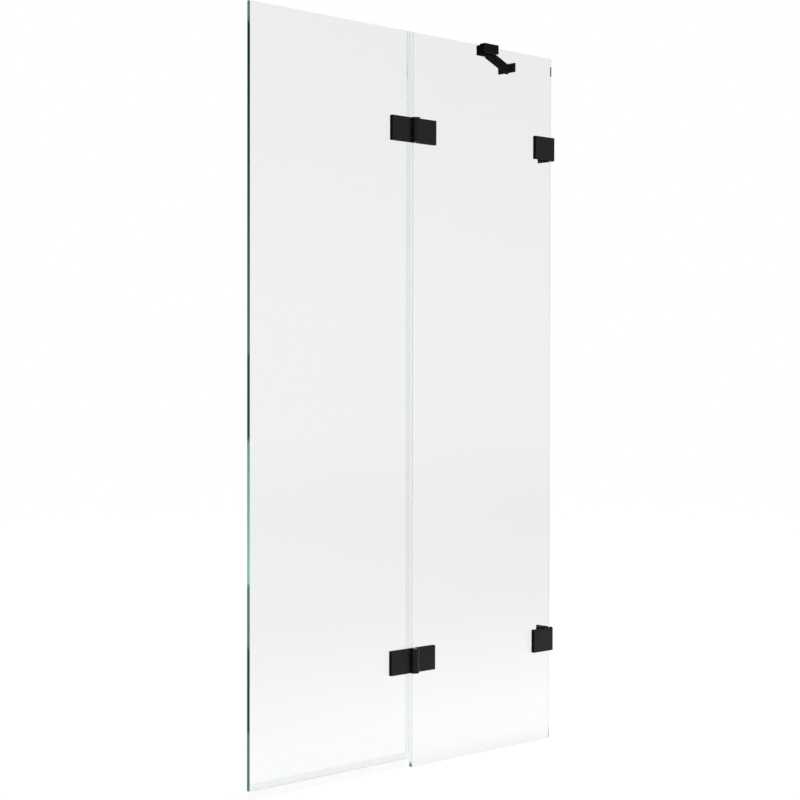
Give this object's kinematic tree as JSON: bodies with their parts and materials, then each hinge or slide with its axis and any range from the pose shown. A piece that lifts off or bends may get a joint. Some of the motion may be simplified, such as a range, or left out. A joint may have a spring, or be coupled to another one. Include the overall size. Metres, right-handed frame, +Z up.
{
  "type": "bath screen",
  "caption": "Frameless bath screen: a fixed glass panel on wall brackets with a top support arm, and a glass door hinged to it that folds outwards, with clear seals.",
  "frame": {"origin": "middle of the fixed panel's bottom edge, on the bath rim", "axes": "+X along the screen to the wall, +Y to the bath side, +Z up; the door opens to -Y"},
  "size_m": [0.85, 0.1887, 1.5075],
  "materials": {
    "clear_glass": "clear toughened glass with polished green-tinted edges",
    "black_hardware": "satin black coating",
    "black_screws": "black socket screws",
    "pin_steel": "ground stainless pins",
    "gasket": "thin black clamp gaskets",
    "bush_plastic": "black bearing plastic",
    "clear_seal": "clear flexible extrusion"
  },
  "bodies": {
    "fixed_screen": {"fixed_glass": "clear_glass", "upper_hinge_fixed_leaf": "black_hardware", "upper_hinge_fixed_inner_plate": "black_hardware", "upper_wall_bracket": "black_hardware", "upper_bracket_cover": "black_hardware", "upper_hinge_fixed_front_gasket": "gasket", "upper_hinge_fixed_back_gasket": "gasket", "upper_bracket_front_gasket": "gasket", "upper_bracket_back_gasket": "gasket", "upper_hinge_pin": "pin_steel", "upper_hinge_fixed_screws": "black_screws", "upper_bracket_screws": "black_screws", "lower_hinge_fixed_leaf": "black_hardware", "lower_hinge_fixed_inner_plate": "black_hardware", "lower_wall_bracket": "black_hardware", "lower_bracket_cover": "black_hardware", "lower_hinge_fixed_front_gasket": "gasket", "lower_hinge_fixed_back_gasket": "gasket", "lower_bracket_front_gasket": "gasket", "lower_bracket_back_gasket": "gasket", "lower_hinge_pin": "pin_steel", "lower_hinge_fixed_screws": "black_screws", "lower_bracket_screws": "black_screws", "support_clamp": "black_hardware", "support_liner": "gasket", "support_grub_screws": "black_screws", "arm_pivot_pin": "pin_steel"},
    "door": {"door_glass": "clear_glass", "upper_hinge_door_leaf": "black_hardware", "upper_hinge_door_inner_plate": "black_hardware", "upper_hinge_door_front_gasket": "gasket", "upper_hinge_door_back_gasket": "gasket", "upper_hinge_door_screws": "black_screws", "upper_hinge_bushes": "bush_plastic", "lower_hinge_door_leaf": "black_hardware", "lower_hinge_door_inner_plate": "black_hardware", "lower_hinge_door_front_gasket": "gasket", "lower_hinge_door_back_gasket": "gasket", "lower_hinge_door_screws": "black_screws", "lower_hinge_bushes": "bush_plastic", "lower_joint_seal": "clear_seal", "middle_joint_seal": "clear_seal", "upper_joint_seal": "clear_seal", "bottom_seal": "clear_seal"},
    "support_arm": {"support_arm": "black_hardware", "foot_pivot_pin": "pin_steel"},
    "wall_foot": {"support_foot": "black_hardware"}
  },
  "joints": [
    {"name": "door_swing", "type": "hinge", "parent": "fixed_screen", "child": "door", "pos_m": [-0.214, -0.0145, 0], "axis": [0, 0, 1], "range_deg": [0, 180]},
    {"name": "arm_swivel", "type": "hinge", "parent": "fixed_screen", "child": "support_arm", "pos_m": [0.017, 0.0175, 1.493], "axis": [0, 0, 1], "range_deg": [-5, 55]},
    {"name": "foot_swivel", "type": "hinge", "parent": "support_arm", "child": "wall_foot", "pos_m": [0.205, 0.12868, 1.493], "axis": [0, 0, 1], "range_deg": [-45, 45]}
  ]
}
